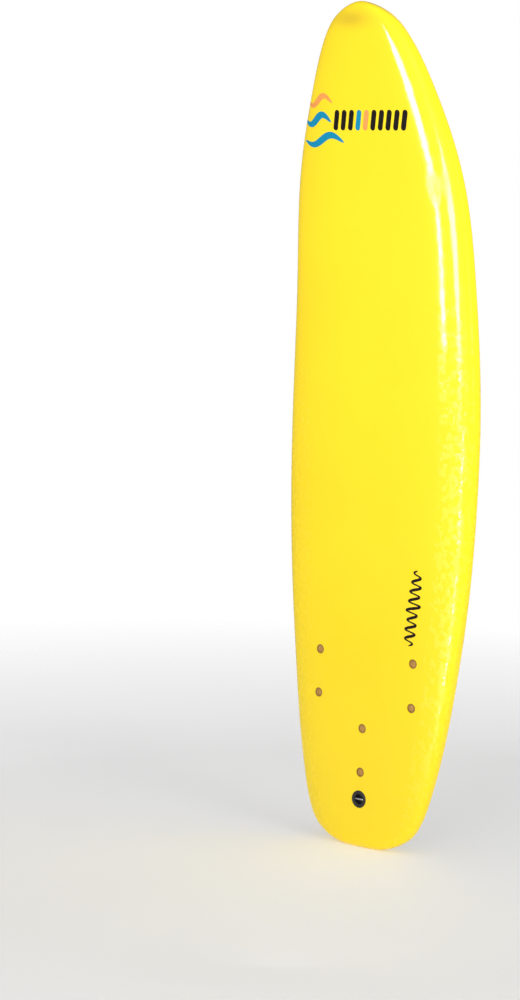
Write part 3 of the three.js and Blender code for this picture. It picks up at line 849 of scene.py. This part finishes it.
def printed_strip(name, centre_line, widths, material, across=5):
    """A strip of print lying on the deck: centre_line holds (x, z) points, widths the width at each."""
    line = np.array(centre_line, float)
    along = np.gradient(line, axis=0)
    along /= np.linalg.norm(along, axis=1)[:, None]
    side = np.stack([-along[:, 1], along[:, 0]], -1)
    share = np.linspace(-0.5, 0.5, across)
    flat = line[:, None, :] + side[:, None, :] * (np.asarray(widths)[:, None] * share[None, :])[:, :, None]
    x, z = flat[..., 0].ravel(), flat[..., 1].ravel()
    y = deck_y(z, x)
    count = len(x)
    vertices = np.concatenate([np.stack([x, y - PRINT_PROUD, z], -1), np.stack([x, y + PRINT_SUNK, z], -1)])
    faces = []
    rows = len(line)
    for k in range(rows - 1):
        for i in range(across - 1):
            a = k * across + i
            quad = (a, a + 1, a + across + 1, a + across)
            faces.append(quad)
            faces.append(tuple(v + count for v in reversed(quad)))
    rim = list(range(across))
    rim += [k * across + across - 1 for k in range(1, rows)]
    rim += [(rows - 1) * across + i for i in range(across - 2, -1, -1)]
    rim += [k * across for k in range(rows - 2, 0, -1)]
    for a, b in zip(rim, rim[1:] + rim[:1]):
        faces.append((a, b, b + count, a + count))
    piece = new_object(name, vertices, faces)
    sharpen(piece, 50)
    finish_piece(piece, material, "deck_film")


def rounded_bar(start, end, width, steps=40):
    """Centre line and widths of a straight bar with round ends."""
    start, end = np.array(start), np.array(end)
    length = np.linalg.norm(end - start)
    turn = (1 - np.cos(np.linspace(0, math.pi, steps))) / 2
    line = start + (end - start) * turn[:, None]
    inside = np.clip(np.minimum(turn, 1 - turn) * length / (width / 2), 0, 1)
    return line, np.maximum(width * np.sqrt(1 - (1 - inside) ** 2), THINNEST_PRINT)


WAVE_HEIGHT = 10 * MM
BAR_COUNT = 10
BAR_FIRST_X = -84 * MM
BAR_STEP = 20 * MM
BAR_LEAN = 9 * MM
BAR_WIDTH = 12.5 * MM
BAR_LOW, BAR_HIGH = 1.561, 1.604


def add_nose_graphic(blue, orange, black):
    """Three tapering waves and a row of slanted bars across the nose: plain decoration with no lettering."""
    t = np.linspace(0, 1, 120)
    # Height, left end, right end, greatest width and ink of each wave.
    waves = (
        (1.624, -170 * MM, -92 * MM, 13 * MM, orange),
        (1.584, -179 * MM, -99 * MM, 16 * MM, blue),
        (1.541, -182 * MM, -66 * MM, 16 * MM, blue),
    )
    for k, (z, left, right, widest, ink) in enumerate(waves):
        x = left + (right - left) * t
        crest = z + WAVE_HEIGHT * np.sin(2 * math.pi * (1.1 * t + 0.5))
        width = np.maximum(widest * np.sin(math.pi * t) ** 0.6, THINNEST_PRINT)
        printed_strip(f"print_wave_{k}", np.stack([x, crest], -1), width, ink)
    accents = {3: blue, 4: orange}
    for k in range(BAR_COUNT):
        x = BAR_FIRST_X + BAR_STEP * k
        line, width = rounded_bar((x - BAR_LEAN / 2, BAR_LOW), (x + BAR_LEAN / 2, BAR_HIGH), BAR_WIDTH)
        printed_strip(f"print_bar_{k}", line, width, accents.get(k, black))


PEN_FROM = (114 * MM, 0.463)      # (x, z) of the lower end
PEN_RISE = (18 * MM, 0.165)
PEN_TURNS = 8


def add_side_graphic(black):
    """One flowing pen-like wave along the right side of the deck, with its widest swing in the middle."""
    t = np.linspace(0, 1, 500)
    turn = 2 * math.pi * PEN_TURNS * t
    swell = 5 * np.sin(math.pi * (1.9 * t + 0.1)) ** 2 + 9 * np.exp(-(((t - 0.5) / 0.09) ** 2))
    x = PEN_FROM[0] + PEN_RISE[0] * t + (8 + swell) * MM * np.sin(turn)
    z = PEN_FROM[1] + PEN_RISE[1] * t
    ends = np.clip(np.minimum(t, 1 - t) / 0.03, 0, 1) ** 0.5
    width = np.maximum((5.0 + 1.6 * np.cos(turn)) * MM * ends, THINNEST_PRINT)
    printed_strip("print_pen_wave", np.stack([x, z], -1), width, black, across=4)


# ---------- carried-over inner pieces ----------

def dress_inner_pieces():
    foam, wood = bead_foam(), sawn_wood()
    brass = metal("turned_brass", (0.55, 0.36, 0.12), (0.75, 0.54, 0.22), 0.3, (1.0, 8.0, 1.0))
    for name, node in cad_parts.items():
        material = None
        if name.startswith("foam_core"):
            material = foam
        elif name.startswith("stringer"):
            material = wood
        elif name.startswith("fin_insert"):
            material = brass
        if material:
            node.data.materials.clear()
            node.data.materials.append(material)


# ---------- studio ----------

WORLD_DARK = 0.27
WORLD_LIGHT = 0.84
WORLD_BRIGHTEST = (0.63, -0.76, -0.15)     # direction in which the room is brightest
SOFTBOX_SPREAD = math.radians(40)
SOFTBOX_SIZE = (3.0, 2.4)
# Place, aim and power of each softbox.
SOFTBOXES = {
    "key": ((5.1, -0.95, 1.8), (0, 0, 1.45), 20),
    "front": ((0.8, -5.0, 1.5), (0, 0, 1.35), 11.7),
}
STREAKED = (0.16, -0.03, 1.35)             # middle of the streaked part of the deck
# Top, bottom, width and power of each strip: streak a is nearer the middle of the deck, streak b the rail.
STRIPS = {
    "streak_a_top": ((-0.79, -1.90, 1.275), (-0.585, -1.90, 1.125), 0.16, 4.4),
    "streak_a": ((-0.585, -1.90, 1.125), (-0.49, -1.89, 0.855), 0.09, 2.6),
    "streak_b": ((0.02, -2.03, 1.20), (0.27, -2.00, 0.92), 0.38, 9.5),
    "streak_b_low": ((0.31, -0.88, 0.84), (0.47, -0.86, 0.12), 0.07, 3.6),
    "streak_b_tail": ((0.52, -0.84, 0.36), (0.40, -0.88, 0.01), 0.24, 1.1),
}


def add_area_light(name, place, aim, size, size_y, power, softbox=True):
    """A softbox, which lights the board without showing in its film, or a strip, which only shows in it."""
    data = bpy.data.lights.new(name, "AREA")
    data.shape = "RECTANGLE"
    data.size = size
    data.size_y = size_y
    data.energy = power
    if softbox:
        data.spread = SOFTBOX_SPREAD
    light = bpy.data.objects.new(name, data)
    light.location = place
    light.rotation_euler = (Vector(aim) - Vector(place)).to_track_quat("-Z", "Y").to_euler()
    light.visible_camera = False
    light.visible_glossy = not softbox
    light.visible_diffuse = softbox
    bpy.context.scene.collection.objects.link(light)
    return light


def add_strip_light(name, top, bottom, width, power):
    """A narrow light between two points, turned to face the streaked part of the deck."""
    top, bottom = Vector(top), Vector(bottom)
    middle, up = (top + bottom) / 2, (top - bottom).normalized()
    back = middle - Vector(STREAKED)
    back = (back - up * back.dot(up)).normalized()
    light = add_area_light(name, middle, STREAKED, width, (top - bottom).length, power, softbox=False)
    light.rotation_euler = Matrix((up.cross(back), up, back)).transposed().to_euler()


def add_room():
    """White room, brighter in front and to the right. It shows as pure white behind the board."""
    world = bpy.data.worlds.new("studio")
    bpy.context.scene.world = world
    world.use_nodes = True
    tree = world.node_tree
    tree.nodes.clear()
    path = tree.nodes.new("ShaderNodeLightPath")
    seen, lit = tree.nodes.new("ShaderNodeBackground"), tree.nodes.new("ShaderNodeBackground")
    seen.inputs["Color"].default_value = (1, 1, 1, 1)
    seen.inputs["Strength"].default_value = 1.0
    lit.inputs["Color"].default_value = (1, 1, 1, 1)
    direction = tree.nodes.new("ShaderNodeTexCoord")
    towards = tree.nodes.new("ShaderNodeVectorMath")
    towards.operation = "DOT_PRODUCT"
    towards.inputs[1].default_value = WORLD_BRIGHTEST
    tree.links.new(direction.outputs["Generated"], towards.inputs[0])
    level = tree.nodes.new("ShaderNodeMapRange")
    level.inputs["From Min"].default_value = -1.0
    level.inputs["To Min"].default_value = WORLD_DARK
    level.inputs["To Max"].default_value = WORLD_LIGHT
    tree.links.new(towards.outputs["Value"], level.inputs["Value"])
    tree.links.new(level.outputs["Result"], lit.inputs["Strength"])
    mix = tree.nodes.new("ShaderNodeMixShader")
    tree.links.new(path.outputs["Is Camera Ray"], mix.inputs["Fac"])
    tree.links.new(lit.outputs[0], mix.inputs[1])
    tree.links.new(seen.outputs[0], mix.inputs[2])
    out = tree.nodes.new("ShaderNodeOutputWorld")
    tree.links.new(mix.outputs[0], out.inputs["Surface"])


def add_lights():
    for name, (place, aim, power) in SOFTBOXES.items():
        add_area_light(name, place, aim, *SOFTBOX_SIZE, power)
    for name, (top, bottom, width, power) in STRIPS.items():
        add_strip_light(name, top, bottom, width, power)


FLOOR_RADIUS = 3.2
FLOOR_FADES_FROM, FLOOR_FADES_TO = 1.0, 3.1
FLOOR_GLOW = 0.25


def add_floor():
    """Pale round floor that fades into the white room."""
    bpy.ops.mesh.primitive_circle_add(
        vertices=96, radius=FLOOR_RADIUS, fill_type="NGON", location=(0, 0, -GAP))
    floor = bpy.context.object
    floor.name = "floor"
    shader = Shader("studio_floor", roughness=0.7, specular=0.2)
    tone = shader.noise(2.0, detail=2.0)
    shader.colour(shader.ramp(tone, [(0.3, (0.80, 0.80, 0.80)), (0.7, (0.83, 0.83, 0.83))]))
    shader.surface.inputs["Emission Color"].default_value = (1, 1, 1, 1)
    shader.surface.inputs["Emission Strength"].default_value = FLOOR_GLOW
    away = shader.node("ShaderNodeVectorMath", Vector=shader.place)
    away.operation = "LENGTH"
    fade = shader.node("ShaderNodeMapRange", Value=away.outputs["Value"])
    fade.inputs["From Min"].default_value = FLOOR_FADES_FROM
    fade.inputs["From Max"].default_value = FLOOR_FADES_TO
    fade.inputs["To Min"].default_value = 1.0
    fade.inputs["To Max"].default_value = 0.0
    shader.feed(shader.surface.inputs["Alpha"], fade.outputs["Result"])
    floor.data.materials.append(shader.material)


# ---------- build ----------

add_camera()
bpy.context.scene.view_settings.view_transform = "Standard"
add_board()
fin_material = moulded("fin_plastic", (0.018, 0.018, 0.02), (0.03, 0.03, 0.033), 0.42)
for side in FIN_SPECS:
    add_fin(side, fin_material)
sleeve_material = moulded("sleeve_plastic", (0.24, 0.11, 0.012), (0.32, 0.15, 0.020), 0.5)
screw_material = moulded("screw_nylon", (0.42, 0.21, 0.045), (0.52, 0.27, 0.070), 0.48)
for bolt in BOLT_NAMES:
    add_bolt(bolt, sleeve_material, screw_material)
plug_plastic = moulded("plug_plastic", (0.007, 0.006, 0.008), (0.013, 0.012, 0.015), 0.42)
steel = metal("pin_steel", (0.45, 0.46, 0.48), (0.6, 0.61, 0.63), 0.25, (0.1, 1.0, 1.0))
add_leash_plug(plug_plastic, steel)
add_plug_nut(plug_plastic)
black_ink = printed("black_ink", (0.006, 0.003, 0.003))
blue_ink = printed("blue_ink", (0.003, 0.23, 0.40))
orange_ink = printed("orange_ink", (0.80, 0.31, 0.08))
add_nose_graphic(blue_ink, orange_ink, black_ink)
add_side_graphic(black_ink)
dress_inner_pieces()
add_room()
add_lights()
add_floor()
